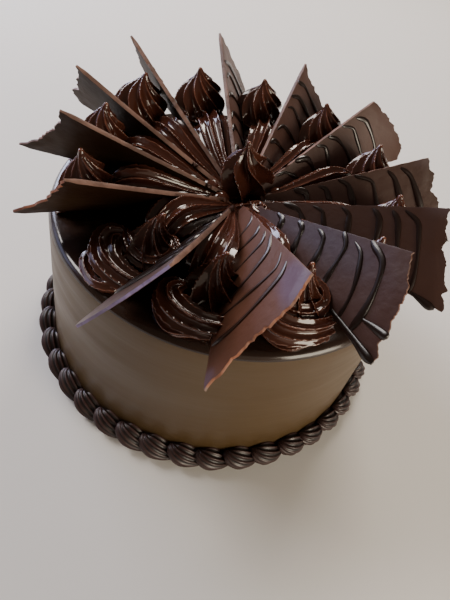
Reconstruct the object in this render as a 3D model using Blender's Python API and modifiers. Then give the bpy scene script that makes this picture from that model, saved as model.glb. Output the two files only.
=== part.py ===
"""A tall round chocolate cake: smooth iced body, piped shell border, twelve piped swirls,
a pinwheel of twelve drizzled chocolate shards and a piped rosette in the middle.

Metres, +Z up. The cake's axis is the Z axis and its flat underside lies on z = 0.
The shards are numbered clockwise, seen from above; swirl_01 lies under shard_01, and so on.
"""

import math
import random

import bmesh
import bpy
from mathutils import Matrix

# The iced body
WALL_RADIUS = 0.114
TOP_RADIUS = 0.1105
CAKE_HEIGHT = 0.1115
EDGE_ROUNDING = 0.0035
EDGE_STEPS = 4
TURN_STEPS = 60

# Clearance kept between separate pieces
GAP = 0.0003

# The piped border round the foot: a ring of shells, each with its head towards the one before it
SHELL_COUNT = 42
SHELL_WIDTH = 0.0080
SHELL_HEIGHT = 0.0185
SHELL_WIDEST_SHARE = 0.36
SHELL_CRESTS = 3
SHELL_VALLEY_DEPTH = 0.0011
SHELL_SLANT = math.radians(2.6)
# A section's outline runs from its foot to its crown, measured from the level of its widest point
SHELL_FOOT_TURN = math.radians(-58.0)
SHELL_CROWN_TURN = math.radians(90.0)
# Place along one shell (0 head, 1 tail), its width, and the height of its crown, as shares of a full shell
SHELL_STATIONS = ((0.03, 0.66, 0.76), (0.30, 1.00, 1.00), (0.68, 0.84, 0.86))

# The shards: flat wedges cut from one spread disc of chocolate, standing like the blades of a pinwheel
SHARD_THICKNESS = 0.0024
SHARD_TIP_HEIGHT = CAKE_HEIGHT + 0.0041
SHARD_TIP_CUT = 0.013
RIM_NOTCH = 0.0007
RIM_STEPS = 2
# For each shard, in degrees: direction of its low edge, rise of that edge, lean from the level and angle
# between its two cut edges; then the distance from tip to rim, from the low corner to the high corner
SHARDS = (
    (213.0, 3.8, 54.0, 24.8, (0.128, 0.120, 0.1155, 0.1155, 0.117, 0.118)),
    (185.3, 2.7, 60.4, 26.8, (0.1315, 0.121, 0.114, 0.111, 0.110, 0.111)),
    (157.8, 3.0, 57.6, 24.8, (0.132, 0.130, 0.122, 0.120, 0.118, 0.118)),
    (131.6, 2.8, 59.0, 26.0, (0.131, 0.128, 0.126, 0.123, 0.121, 0.122)),
    (99.3, 2.8, 60.5, 27.0, (0.131, 0.132, 0.126, 0.124, 0.122, 0.121)),
    (66.5, 2.8, 57.0, 24.8, (0.131, 0.122, 0.117, 0.115, 0.114, 0.116)),
    (40.5, 3.8, 61.3, 21.5, (0.130, 0.135, 0.131, 0.125, 0.121, 0.117)),
    (4.1, 2.8, 54.8, 23.6, (0.131, 0.123, 0.120, 0.115, 0.116, 0.1155)),
    (-24.1, 2.8, 56.3, 24.5, (0.131, 0.127, 0.122, 0.118, 0.118, 0.117)),
    (-51.7, 3.7, 58.8, 24.6, (0.130, 0.125, 0.123, 0.122, 0.118, 0.115)),
    (-86.2, 1.0, 57.7, 29.4, (0.1355, 0.128, 0.124, 0.1235, 0.124, 0.117)),
    (-112.9, 2.1, 55.6, 23.6, (0.135, 0.133, 0.130, 0.129, 0.124, 0.117)),
)

# The drizzle: thick lines of glaze that cross each shard's upper face
DRIZZLE_DISTANCES = (0.040, 0.055, 0.069, 0.083, 0.096, 0.107)
DRIZZLE_WIDTH = 0.0024
DRIZZLE_HEIGHT = 0.0009
DRIZZLE_SINK = 0.0002
DRIZZLE_STEPS = 3
DRIZZLE_MARGIN = math.radians(1.6)
DRIZZLE_RIM_MARGIN = 0.004
# Least and most that a line drifts outwards across a shard, and that it waves
DRIZZLE_DRIFT = (-0.003, 0.006)
DRIZZLE_WAVE = (0.001, 0.004)
DRIZZLE_WAVE_TURN = 3.0
DRIZZLE_SEED = 11

# The swirls: each is a tall whorl near the edge, a smaller curl and a ridged shell that tapers inwards.
# Each lies at a share of the angle from its own shard to the next one.
SWIRL_SHARE = 0.64
# For each swirl: its size, the height of its peak, and how far the peak leans outwards and round
SWIRLS = (
    (1.06, 0.0335, (-0.0130, 0.0100)),
    (0.98, 0.0360, (0.0030, 0.0050)),
    (0.98, 0.0380, (0.0005, 0.0020)),
    (1.02, 0.0400, (0.0040, 0.0000)),
    (1.00, 0.0400, (0.0010, 0.0025)),
    (0.98, 0.0390, (-0.0010, 0.0060)),
    (0.96, 0.0385, (0.0000, 0.0080)),
    (1.01, 0.0380, (-0.0010, 0.0050)),
    (0.99, 0.0380, (-0.0010, 0.0050)),
    (1.00, 0.0370, (-0.0010, 0.0050)),
    (1.03, 0.0340, (-0.0030, 0.0070)),
    (1.02, 0.0340, (-0.0065, 0.0090)),
)
# Share of its lean that a drop's foot takes, and how sharply the rest grows towards the peak
FOOT_LEAN = 0.25
LEAN_POWER = 1.6
SWIRL_SINK = 0.0006
WHORL_DISTANCE = 0.0875
WHORL_RADIUS = 0.0195
WHORL_CRESTS = 7
WHORL_TWIST = math.radians(300.0)
CURL_DISTANCE = 0.060
CURL_RADIUS = 0.0145
CURL_HEIGHT = 0.0290
CURL_LEAN = (-0.0020, 0.0020)
CURL_CRESTS = 5
CURL_TWIST = math.radians(200.0)
DROP_VALLEY = 0.80
# Height and radius of a piped drop, as shares of the whole, from its foot to its peak
DROP_PROFILE = (
    (0.00, 0.88), (0.11, 1.00), (0.27, 0.99), (0.42, 0.87), (0.55, 0.71),
    (0.67, 0.51), (0.79, 0.29), (0.90, 0.12), (1.00, 0.03),
)
TAIL_START = 0.055
TAIL_END = 0.019
TAIL_WIDTHS = (0.0070, 0.0118, 0.0098, 0.0070, 0.0038)
TAIL_HEIGHTS = (0.0130, 0.0210, 0.0185, 0.0145, 0.0095)
TAIL_CRESTS = 5
TAIL_VALLEY = 0.84

# The rosette in the middle: a stem between the shards' tips and a wide star that sits on them.
# The star lies towards the back, behind the stem.
ROSETTE_CRESTS = 7
ROSETTE_TWIST = math.radians(20.0)
# Height, crest radius and valley radius of each level, and how far its middle lies from the axis
ROSETTE_LEVELS = (
    (CAKE_HEIGHT + GAP, 0.0085, 0.0080, (0.0000, 0.0000)),
    (0.1200, 0.0085, 0.0080, (0.0000, 0.0000)),
    (0.1252, 0.0125, 0.0095, (-0.0006, 0.0036)),
    (0.1288, 0.0172, 0.0118, (-0.0018, 0.0078)),
    (0.1325, 0.0180, 0.0112, (-0.0026, 0.0102)),
    (0.1375, 0.0158, 0.0092, (-0.0030, 0.0106)),
    (0.1420, 0.0108, 0.0064, (-0.0032, 0.0103)),
    (0.1462, 0.0052, 0.0034, (-0.0034, 0.0100)),
    (0.1502, 0.0010, 0.0008, (-0.0034, 0.0100)),
)

# Reach of the cutters, the angle up to which two faces count as one, and the size of a scrap of an edge
FAR = 0.4
FLAT = math.radians(0.5)
SCRAP = 0.00002


def clear_scene():
    """Remove whatever the open scene holds."""
    for item in list(bpy.data.objects):
        bpy.data.objects.remove(item, do_unlink=True)


def new_collection(name):
    """Make a collection in the scene."""
    collection = bpy.data.collections.new(name)
    bpy.context.scene.collection.children.link(collection)
    return collection


def material(name, colour, roughness):
    """Make a plain Principled material."""
    made = bpy.data.materials.new(name)
    made.use_nodes = True
    shader = made.node_tree.nodes["Principled BSDF"]
    shader.inputs["Base Color"].default_value = (*colour, 1.0)
    shader.inputs["Roughness"].default_value = roughness
    shader.inputs["Metallic"].default_value = 0.0
    return made


def put(mesh, name, collection):
    """Put a mesh in a collection as a named object."""
    item = bpy.data.objects.new(name, mesh)
    collection.objects.link(item)
    return item


def finish(item, look, sharp=40.0):
    """Give a piece its material, smooth shading and sharp creases."""
    item.data.materials.clear()
    item.data.materials.append(look)
    item.data.shade_smooth()
    item.data.set_sharp_from_angle(angle=math.radians(sharp))


def evaluated_mesh(item):
    """Return a piece's mesh with its modifiers applied."""
    bpy.context.view_layer.update()
    graph = bpy.context.evaluated_depsgraph_get()
    return bpy.data.meshes.new_from_object(item.evaluated_get(graph))


def loft(rings, closed=False):
    """Join rings of points, in order, into one solid; a loft that isn't closed gets end caps."""
    build = bmesh.new()
    loops = [[build.verts.new(point) for point in ring] for ring in rings]
    count = len(loops[0])
    pairs = list(zip(loops, loops[1:]))
    if closed:
        pairs.append((loops[-1], loops[0]))
    for low, high in pairs:
        for index in range(count):
            after = (index + 1) % count
            build.faces.new((low[index], low[after], high[after], high[index]))
    if not closed:
        build.faces.new(list(reversed(loops[0])))
        build.faces.new(loops[-1])
    bmesh.ops.recalc_face_normals(build, faces=build.faces)
    mesh = bpy.data.meshes.new("loft")
    build.to_mesh(mesh)
    build.free()
    return mesh


def fuse(name, base, others, collection):
    """Join a mesh and several others into one body with a Boolean union on a collection."""
    joined = new_collection(name + "_pieces")
    body = put(base, name + "_base", collection)
    pieces = [put(mesh, f"{name}_piece_{index}", joined) for index, mesh in enumerate(others)]
    union = body.modifiers.new("join", "BOOLEAN")
    union.operation = "UNION"
    union.operand_type = "COLLECTION"
    union.collection = joined
    union.solver = "EXACT"
    mesh = evaluated_mesh(body)
    for item in pieces + [body]:
        bpy.data.objects.remove(item, do_unlink=True)
    bpy.data.collections.remove(joined)
    return put(mesh, name, collection)


def make_cake(collection, look):
    """Turn the cake's outline round its axis: level top, rounded edge, wall that leans in a little."""
    outline = [(0.0, CAKE_HEIGHT)]
    for step in range(EDGE_STEPS + 1):
        turn = math.radians(90.0) * (1.0 - step / EDGE_STEPS)
        across = TOP_RADIUS - EDGE_ROUNDING + EDGE_ROUNDING * math.cos(turn)
        up = CAKE_HEIGHT - EDGE_ROUNDING + EDGE_ROUNDING * math.sin(turn)
        outline.append((across, up))
    outline.append((WALL_RADIUS, 0.0))
    outline.append((0.0, 0.0))
    mesh = bpy.data.meshes.new("cake")
    edges = [(index, index + 1) for index in range(len(outline) - 1)]
    mesh.from_pydata([(across, 0.0, up) for across, up in outline], edges, [])
    item = put(mesh, "cake", collection)
    turned = item.modifiers.new("turn", "SCREW")
    turned.steps = TURN_STEPS
    turned.render_steps = TURN_STEPS
    turned.use_merge_vertices = True
    turned.merge_threshold = 0.00001
    mesh = evaluated_mesh(item)
    bpy.data.objects.remove(item, do_unlink=True)
    item = put(mesh, "cake", collection)
    finish(item, look, 30.0)


def shell_section(azimuth, width, crown):
    """One cross-section of the border: a flat back and foot, and a round front with ridges."""
    inner = WALL_RADIUS + 2.0 * GAP
    middle = SHELL_WIDEST_SHARE * SHELL_HEIGHT
    points = [(inner, 0.0, 0.0)]
    count = 2 * SHELL_CRESTS + 1
    for index in range(count):
        turn = SHELL_FOOT_TURN + (SHELL_CROWN_TURN - SHELL_FOOT_TURN) * index / (count - 1)
        dent = SHELL_VALLEY_DEPTH if index % 2 else 0.0
        reach = crown * SHELL_HEIGHT - middle if turn > 0.0 else middle
        out = (SHELL_WIDTH * width - dent) * math.cos(turn)
        up = middle + (reach - dent) * math.sin(turn)
        if index == 0:
            up = 0.0
        if index == count - 1:
            out = 0.0
        points.append((inner + out, up, up / SHELL_HEIGHT - 0.5))
    ring = []
    for radius, height, share in points:
        place = azimuth - SHELL_SLANT * share
        ring.append((radius * math.cos(place), radius * math.sin(place), height))
    return ring


def make_border(collection, look):
    """The ring of shells round the foot, one closed loft of ridged sections."""
    pitch = math.tau / SHELL_COUNT
    rings = []
    for shell in range(SHELL_COUNT):
        for along, width, crown in SHELL_STATIONS:
            rings.append(shell_section(pitch * (shell + along), width, crown))
    finish(put(loft(rings, closed=True), "base_border", collection), look, 35.0)


def shard_frame(edge, slope, lean):
    """A shard's own axes: X along its low edge, Y towards its high edge, Z out of its upper face."""
    place = Matrix.Translation((0.0, 0.0, SHARD_TIP_HEIGHT))
    turn = Matrix.Rotation(math.radians(edge), 4, "Z")
    rise = Matrix.Rotation(-math.radians(slope), 4, "Y")
    tip = Matrix.Rotation(math.radians(lean), 4, "X")
    return place @ turn @ rise @ tip


def rim_distance(rim, share):
    """Distance from tip to rim at a share of the way from the low corner to the high one."""
    spot = share * (len(rim) - 1)
    index = min(int(spot), len(rim) - 2)
    blend = spot - index
    return rim[index] * (1.0 - blend) + rim[index + 1] * blend


def shard_plate(spread, rim, notches):
    """The flat plate of one shard, cut from a filled outline with its rough rim."""
    steps = RIM_STEPS * (len(rim) - 1)
    outline = [(SHARD_TIP_CUT, 0.0)]
    for step in range(steps + 1):
        share = step / steps
        rough = notches.uniform(-RIM_NOTCH, RIM_NOTCH) if 0 < step < steps else 0.0
        reach = rim_distance(rim, share) + rough
        outline.append((reach * math.cos(spread * share), reach * math.sin(spread * share)))
    outline.append((SHARD_TIP_CUT * math.cos(spread), SHARD_TIP_CUT * math.sin(spread)))
    curve = bpy.data.curves.new("plate", "CURVE")
    curve.dimensions = "2D"
    curve.fill_mode = "BOTH"
    curve.extrude = SHARD_THICKNESS / 2.0
    line = curve.splines.new("POLY")
    line.points.add(len(outline) - 1)
    for point, (across, up) in zip(line.points, outline):
        point.co = (across, up, 0.0, 1.0)
    line.use_cyclic_u = True
    return welded(curve)


def welded(curve):
    """Turn a curve into a closed mesh with its caps welded on."""
    item = put(curve, "curve", bpy.context.scene.collection)
    mesh = evaluated_mesh(item)
    bpy.data.objects.remove(item, do_unlink=True)
    build = bmesh.new()
    build.from_mesh(mesh)
    bmesh.ops.remove_doubles(build, verts=build.verts, dist=0.00001)
    bmesh.ops.dissolve_limit(build, angle_limit=FLAT, verts=build.verts, edges=build.edges)
    bmesh.ops.recalc_face_normals(build, faces=build.faces)
    build.to_mesh(mesh)
    build.free()
    return mesh


def drizzle_line(distance, spread, reach, draws):
    """One line of glaze across a shard: a low three-sided ridge sunk a little into the upper face."""
    drift = draws.uniform(*DRIZZLE_DRIFT)
    bend = draws.uniform(*DRIZZLE_WAVE)
    phase = draws.uniform(0.0, math.tau)
    face = SHARD_THICKNESS / 2.0
    rings = []
    for step in range(DRIZZLE_STEPS + 1):
        share = step / DRIZZLE_STEPS
        turn = DRIZZLE_MARGIN + (spread - 2.0 * DRIZZLE_MARGIN) * share
        wave = drift * (share - 0.5) + bend * math.sin(phase + DRIZZLE_WAVE_TURN * share)
        away = min(distance + wave, reach - DRIZZLE_RIM_MARGIN)
        ring = []
        for across, up in ((-0.5, -DRIZZLE_SINK), (0.5, -DRIZZLE_SINK), (0.0, DRIZZLE_HEIGHT)):
            radius = away + across * DRIZZLE_WIDTH
            ring.append((radius * math.cos(turn), radius * math.sin(turn), face + up))
        rings.append(ring)
    return loft(rings)


def make_shards(collection, look):
    """The twelve shards, each a plate with its drizzle fused on, stood on its low edge."""
    draws = random.Random(DRIZZLE_SEED)
    for number, (edge, slope, lean, spread, rim) in enumerate(SHARDS, start=1):
        wedge = math.radians(spread)
        plate = shard_plate(wedge, rim, draws)
        lines = [drizzle_line(distance, wedge, min(rim), draws) for distance in DRIZZLE_DISTANCES]
        item = fuse(f"shard_{number:02d}", plate, lines, collection)
        item.data.transform(shard_frame(edge, slope, lean))
        finish(item, look, 30.0)


def piped_drop(radius, height, lean, crests, twist, phase):
    """Rings of a piped drop: a star that turns as it rises and narrows to a leaning peak."""
    rings = []
    for up, wide in DROP_PROFILE:
        ring = []
        shift = FOOT_LEAN + (1.0 - FOOT_LEAN) * up ** LEAN_POWER
        for index in range(2 * crests):
            turn = phase - twist * up + math.pi * index / crests
            reach = radius * wide * (DROP_VALLEY if index % 2 else 1.0)
            across = shift * lean[0] + reach * math.cos(turn)
            along = shift * lean[1] + reach * math.sin(turn)
            ring.append((across, along, height * up))
        rings.append(ring)
    return rings


def piped_tail():
    """Rings of the ridged shell that tapers from the curl towards the cake's middle, along -X."""
    count = 2 * TAIL_CRESTS - 1
    rings = []
    for step, (width, height) in enumerate(zip(TAIL_WIDTHS, TAIL_HEIGHTS)):
        across = TAIL_START + (TAIL_END - TAIL_START) * step / (len(TAIL_WIDTHS) - 1)
        ring = []
        for index in range(count):
            turn = math.pi * index / (count - 1)
            reach = TAIL_VALLEY if index % 2 else 1.0
            ring.append((across, width * reach * math.cos(turn), height * reach * math.sin(turn)))
        rings.append(ring)
    return rings


def moved(mesh, frame):
    """Move a mesh in place and hand it back."""
    mesh.transform(frame)
    return mesh


def half_space(frame, edge_height, side):
    """A large cube whose face lies at a height in a frame and which fills that frame above or below it."""
    build = bmesh.new()
    bmesh.ops.create_cube(build, size=FAR)
    mesh = bpy.data.meshes.new("half_space")
    build.to_mesh(mesh)
    build.free()
    return moved(mesh, frame @ Matrix.Translation((0.0, 0.0, edge_height + side * FAR / 2.0)))


def cut(item, meshes, cutters):
    """Cut a piece with closed meshes, apply the cuts and drop any scrap or sealed pocket."""
    tools = []
    for mesh in meshes:
        tool = put(mesh, "cutter", cutters)
        tool.hide_render = True
        tool.display_type = "WIRE"
        tools.append(tool)
        slot = item.modifiers.new("cut", "BOOLEAN")
        slot.operation = "DIFFERENCE"
        slot.solver = "EXACT"
        slot.object = tool
    mesh = evaluated_mesh(item)
    item.modifiers.clear()
    item.data = mesh
    for tool in tools:
        bpy.data.objects.remove(tool, do_unlink=True)
    keep_largest(mesh)


def keep_largest(mesh):
    """Delete all but the largest connected body of a mesh."""
    build = bmesh.new()
    build.from_mesh(mesh)
    left = set(build.verts)
    bodies = []
    while left:
        body = set()
        edge_of_search = [left.pop()]
        while edge_of_search:
            point = edge_of_search.pop()
            body.add(point)
            for edge in point.link_edges:
                other = edge.other_vert(point)
                if other in left:
                    left.remove(other)
                    edge_of_search.append(other)
        bodies.append(body)
    bodies.sort(key=len)
    scraps = [point for body in bodies[:-1] for point in body]
    bmesh.ops.delete(build, geom=scraps, context="VERTS")
    bmesh.ops.dissolve_degenerate(build, dist=SCRAP, edges=build.edges)
    build.to_mesh(mesh)
    build.free()


def make_swirls(collection, cutters, look):
    """The twelve swirls, each pressed between the shard that leans over it and the next one round."""
    base = CAKE_HEIGHT + GAP
    count = len(SHARDS)
    under_shard = -SHARD_THICKNESS / 2.0 - GAP
    over_drizzle = SHARD_THICKNESS / 2.0 + DRIZZLE_HEIGHT + GAP
    for index, ((size, height, peak), shard) in enumerate(zip(SWIRLS, SHARDS)):
        edge, slope, lean = shard[:3]
        next_edge, next_slope, next_lean = SHARDS[index - 1][:3]
        room = (next_edge - edge) % 360.0
        turned = Matrix.Rotation(math.radians(edge + SWIRL_SHARE * room), 4, "Z")
        phase = math.tau * index / count
        whorl = piped_drop(WHORL_RADIUS * size, height, peak, WHORL_CRESTS, WHORL_TWIST, phase)
        curl = piped_drop(CURL_RADIUS * size, CURL_HEIGHT * size, CURL_LEAN, CURL_CRESTS, CURL_TWIST, -phase)
        whorl = moved(loft(whorl), turned @ Matrix.Translation((WHORL_DISTANCE, 0.0, base)))
        curl = moved(loft(curl), turned @ Matrix.Translation((CURL_DISTANCE, 0.0, base - SWIRL_SINK)))
        tail = moved(loft(piped_tail()), turned @ Matrix.Translation((0.0, 0.0, base - 2.0 * SWIRL_SINK)))
        item = fuse(f"swirl_{index + 1:02d}", whorl, [curl, tail], collection)
        cuts = [
            half_space(shard_frame(edge, slope, lean), under_shard, 1),
            half_space(shard_frame(next_edge, next_slope, next_lean), over_drizzle, -1),
            half_space(Matrix.Identity(4), base, -1),
        ]
        cut(item, cuts, cutters)
        finish(item, look, 35.0)


def make_rosette(collection, look):
    """The rosette: a stem in the middle and a wide star with sharp petals over the shards' tips."""
    rings = []
    low = ROSETTE_LEVELS[0][0]
    high = ROSETTE_LEVELS[-1][0]
    for height, crest, valley, (across, along) in ROSETTE_LEVELS:
        twist = ROSETTE_TWIST * (height - low) / (high - low)
        ring = []
        for index in range(2 * ROSETTE_CRESTS):
            turn = math.pi * index / ROSETTE_CRESTS - twist
            reach = valley if index % 2 else crest
            ring.append((across + reach * math.cos(turn), along + reach * math.sin(turn), height))
        rings.append(ring)
    finish(put(loft(rings), "centre_rosette", collection), look, 35.0)


def main():
    clear_scene()
    parts = new_collection("layer_cake")
    cutters = new_collection("cutters")
    cake_icing = material("cake_icing", (0.105, 0.060, 0.036), 0.42)
    border_icing = material("border_icing", (0.035, 0.018, 0.016), 0.38)
    piped_icing = material("piped_icing", (0.030, 0.013, 0.008), 0.20)
    shard_chocolate = material("shard_chocolate", (0.070, 0.042, 0.034), 0.35)
    make_cake(parts, cake_icing)
    make_border(parts, border_icing)
    make_shards(parts, shard_chocolate)
    make_swirls(parts, cutters, piped_icing)
    make_rosette(parts, piped_icing)


main()
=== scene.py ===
# %% [markdown]
# # A chocolate layer cake with a pinwheel of shards
# The solid model gives every piece its size and its place. This lesson dresses it: each plain
# solid is replaced by a finer piece with the ridges, the broken rims and the gloss of the real cake.
# Everything is in metres, and the cake's axis is the Z axis.

# %% Start from the solid model
import math
import random

import bpy
import numpy as np
from mathutils import Matrix, Vector


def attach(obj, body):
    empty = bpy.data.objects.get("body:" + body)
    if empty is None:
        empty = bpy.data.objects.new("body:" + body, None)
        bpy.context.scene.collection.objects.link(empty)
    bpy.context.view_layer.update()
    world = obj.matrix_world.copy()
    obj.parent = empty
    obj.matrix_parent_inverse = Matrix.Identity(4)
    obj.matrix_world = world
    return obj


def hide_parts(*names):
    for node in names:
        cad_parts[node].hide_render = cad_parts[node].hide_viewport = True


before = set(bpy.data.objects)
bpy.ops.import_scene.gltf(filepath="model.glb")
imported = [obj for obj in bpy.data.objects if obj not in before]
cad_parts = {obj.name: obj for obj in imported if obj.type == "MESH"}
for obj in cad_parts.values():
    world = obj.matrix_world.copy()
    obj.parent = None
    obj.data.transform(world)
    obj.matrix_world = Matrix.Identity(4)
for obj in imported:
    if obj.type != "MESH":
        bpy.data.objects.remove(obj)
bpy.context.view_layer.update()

bpy.ops.object.select_all(action="DESELECT")

# %% [markdown]
# ## The camera
# The photograph looks down on the cake from the front, about 50 degrees above the floor, and the
# camera was held a little tilted. Its place and its three directions were worked out from the
# ellipse of the cake's foot and the corners of the shards, so a render lies over the photograph.

# %% The camera
CAMERA_PLACE = (0.0057, -0.2415, 0.2970)
ACROSS = Vector((0.9628, 0.1976, 0.1841))
UPWARD = Vector((-0.2700, 0.7217, 0.6374))
AHEAD = Vector((0.0070, 0.6634, -0.7482))
FOCAL_LENGTH = 29.1
SENSOR_WIDTH = 36.0
bpy.ops.object.camera_add()
camera = bpy.context.object
camera.name = "camera"
turned = Matrix((ACROSS, UPWARD, -AHEAD)).transposed().to_4x4()
camera.matrix_world = Matrix.Translation(CAMERA_PLACE) @ turned
camera.data.lens = FOCAL_LENGTH
camera.data.sensor_width = SENSOR_WIDTH
camera.data.clip_start = 0.01
bpy.context.scene.camera = camera
print("camera looks along", [round(value, 2) for value in AHEAD])

# %% [markdown]
# ## The floor and the light
# The cake stands on a plain pale floor. In the photograph soft light comes from the left and from
# behind, so the wall in front is dim and every wet ridge carries a bright line. Six square lights
# give the same: a cool one, a low bluish one and a high one on the left, a warm one behind, a warm
# low one that grazes the wall on the right, and a weak one in front.

# %% Floor and lights
FLOOR_LEVEL = -0.0004
FLOOR_SIZE = 6.0
# Each light's name, place, size in metres, power in watts and colour
LIGHTS = (
    ("light_left", (-1.14, 0.88, 0.52), 0.72, 18.0, (0.72, 0.76, 1.0)),
    ("light_low", (-1.32, 0.03, 0.44), 0.6, 2.0, (0.60, 0.64, 1.0)),
    ("light_back", (0.15, 1.3, 1.2), 0.7, 24.0, (1.0, 0.90, 0.80)),
    ("light_right", (1.02, -0.62, 0.36), 0.6, 13.0, (1.0, 0.88, 0.70)),
    ("light_high", (-1.02, 0.22, 1.14), 0.55, 14.5, (1.0, 0.95, 0.92)),
    ("light_front", (0.7, -1.2, 0.5), 1.0, 1.5, (1.0, 0.80, 0.62)),
)
LIT_POINT = Vector((0.0, 0.0, 0.08))
AIR_COLOUR = (0.88, 0.72, 0.58, 1.0)
AIR_STRENGTH = 0.125

bpy.ops.mesh.primitive_plane_add(size=FLOOR_SIZE, location=(0.0, 0.0, FLOOR_LEVEL))
floor = bpy.context.object
floor.name = "floor"
for name, spot, size, power, colour in LIGHTS:
    bpy.ops.object.light_add(type="AREA", location=spot)
    light = bpy.context.object
    light.name = name
    light.data.size = size
    light.data.energy = power
    light.data.color = colour
    aim = LIT_POINT - Vector(spot)
    light.rotation_euler = aim.to_track_quat("-Z", "Y").to_euler()
world = bpy.data.worlds.new("air")
world.use_nodes = True
air = world.node_tree.nodes["Background"]
air.inputs["Color"].default_value = AIR_COLOUR
air.inputs["Strength"].default_value = AIR_STRENGTH
bpy.context.scene.world = world

# %% [markdown]
# ## Reckoning with shaders
# A pattern in a material is a sum of small steps, each of them a node. Written as plain arithmetic
# it is easier to read, so a little class stands for a socket and adds the node that a sign asks for.

# %% A socket that can be reckoned with


class Socket:
    """One output in a material; a sign between two of them adds a Math node."""

    def __init__(self, look, output):
        self.look = look
        self.output = output

    def math(self, sign, first, second):
        return self.look.node("ShaderNodeMath", {"operation": sign}, {0: first, 1: second})

    def __add__(self, other):
        return self.math("ADD", self, other)

    __radd__ = __add__

    def __sub__(self, other):
        return self.math("SUBTRACT", self, other)

    def __rsub__(self, other):
        return self.math("SUBTRACT", other, self)

    def __mul__(self, other):
        return self.math("MULTIPLY", self, other)

    __rmul__ = __mul__


class Look:
    """A material that is being made; uniform values go straight onto its shader."""

    def __init__(self, name, **uniform):
        self.material = bpy.data.materials.new(name)
        self.material.use_nodes = True
        self.tree = self.material.node_tree
        self.shader = self.tree.nodes["Principled BSDF"]
        for socket, value in uniform.items():
            self.shader.inputs[socket.replace("_", " ")].default_value = value

    def feed(self, socket, value):
        """Link an output to a socket, or set its value."""
        if isinstance(value, Socket):
            self.tree.links.new(value.output, socket)
        else:
            socket.default_value = value

    def node(self, kind, settings=(), inputs=(), output=0):
        """Add a node: its settings first, then the values or links of its sockets."""
        made = self.tree.nodes.new(kind)
        for name, value in dict(settings).items():
            setattr(made, name, value)
        for name, value in dict(inputs).items():
            self.feed(made.inputs[name], value)
        return Socket(self, made.outputs[output])

    def noise(self, scale, detail=3.0, stretch=(1.0, 1.0, 1.0)):
        """A cloudy pattern over the piece, from 0 to 1."""
        spot = self.node("ShaderNodeTexCoord", output="Object")
        spread = self.node(
            "ShaderNodeMapping", {"vector_type": "POINT"}, {"Vector": spot, "Scale": stretch}
        )
        return self.node(
            "ShaderNodeTexNoise", {}, {"Vector": spread, "Scale": scale, "Detail": detail}
        )

    def between(self, low, high, value):
        """Stretch a value so that low becomes 0 and high becomes 1, held within them."""
        return self.node(
            "ShaderNodeMapRange",
            {"clamp": True, "interpolation_type": "SMOOTHSTEP"},
            {"Value": value, "From Min": low, "From Max": high},
        )

    def blend(self, share, first, second):
        """A colour between two, by a share from 0 to 1."""
        return self.node(
            "ShaderNodeMix", {"data_type": "RGBA"}, {"Factor": share, 6: first, 7: second}, output=2
        )

    def attribute(self, name):
        """A value that is stored in the piece's own mesh."""
        return self.node("ShaderNodeAttribute", {"attribute_name": name}, output="Fac")

    def colour(self, value):
        self.feed(self.shader.inputs["Base Color"], value)

    def roughness(self, value):
        self.feed(self.shader.inputs["Roughness"], value)

    def relief(self, height, depth):
        """Raise and sink the surface by a pattern, as deep as depth in metres."""
        bump = self.node(
            "ShaderNodeBump", {}, {"Height": height, "Distance": depth, "Strength": 1.0}, "Normal"
        )
        self.feed(self.shader.inputs["Normal"], bump)


floor_look = Look("pale_floor", Roughness=0.85)
floor_look.colour((0.74, 0.72, 0.69, 1.0))
floor.data.materials.append(floor_look.material)
print("materials:", len(bpy.data.materials))

# %% [markdown]
# ## Small helpers for modelling
# An operator works on whatever is selected, so each step starts from nothing and picks what it
# needs by place. A finished piece sits at the origin, and its place is in its mesh.

# %% Helpers


def alone(item):
    """Select one object and make it the active one."""
    bpy.ops.object.select_all(action="DESELECT")
    item.select_set(True)
    bpy.context.view_layer.objects.active = item
    return item


def edit(item, kind="VERT"):
    """Open a mesh for editing with nothing picked."""
    alone(item)
    bpy.ops.object.mode_set(mode="EDIT")
    bpy.ops.mesh.select_mode(type=kind)
    bpy.ops.mesh.select_all(action="DESELECT")
    bpy.ops.object.mode_set(mode="OBJECT")


def pick(parts, test):
    """Pick the vertices, edges or faces that pass a test, and open the mesh."""
    for part in parts:
        part.select = test(part)
    bpy.ops.object.mode_set(mode="EDIT")


def done():
    bpy.ops.object.mode_set(mode="OBJECT")


def modify(item, kind, **settings):
    """Give a piece a modifier and apply it."""
    alone(item)
    modifier = item.modifiers.new(kind.lower(), kind)
    for name, value in settings.items():
        setattr(modifier, name, value)
    bpy.ops.object.modifier_apply(modifier=modifier.name)


def join(name, pieces):
    """Join pieces into one, under a name."""
    bpy.ops.object.select_all(action="DESELECT")
    for piece in pieces:
        piece.select_set(True)
    bpy.context.view_layer.objects.active = pieces[0]
    if len(pieces) > 1:
        bpy.ops.object.join()
    item = bpy.context.object
    item.name = name
    return item


def place(item, matrix=None):
    """Put a piece where a matrix says and bake that place into its mesh."""
    if matrix is not None:
        item.matrix_world = matrix
    alone(item)
    bpy.ops.object.transform_apply(location=True, rotation=True, scale=True)


def trim(item, point, outward):
    """Cut away what lies beyond a plane and close the cut."""
    edit(item)
    bpy.ops.object.mode_set(mode="EDIT")
    bpy.ops.mesh.select_all(action="SELECT")
    bpy.ops.mesh.bisect(plane_co=point, plane_no=outward, use_fill=True, clear_outer=True)
    done()


def outwards(item):
    """Turn every face outwards and shade the piece smoothly."""
    edit(item)
    bpy.ops.object.mode_set(mode="EDIT")
    bpy.ops.mesh.select_all(action="SELECT")
    bpy.ops.mesh.normals_make_consistent(inside=False)
    done()
    bpy.ops.object.shade_smooth()


def dress(item, nodes, looks):
    """Give a finished piece its looks, and let it stand for solids of the model."""
    for look in looks:
        item.data.materials.append(look.material)
    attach(item, "root")
    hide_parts(*nodes)
    print(f"{item.name}: {len(item.data.vertices)} points, {len(item.data.polygons)} faces")


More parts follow.
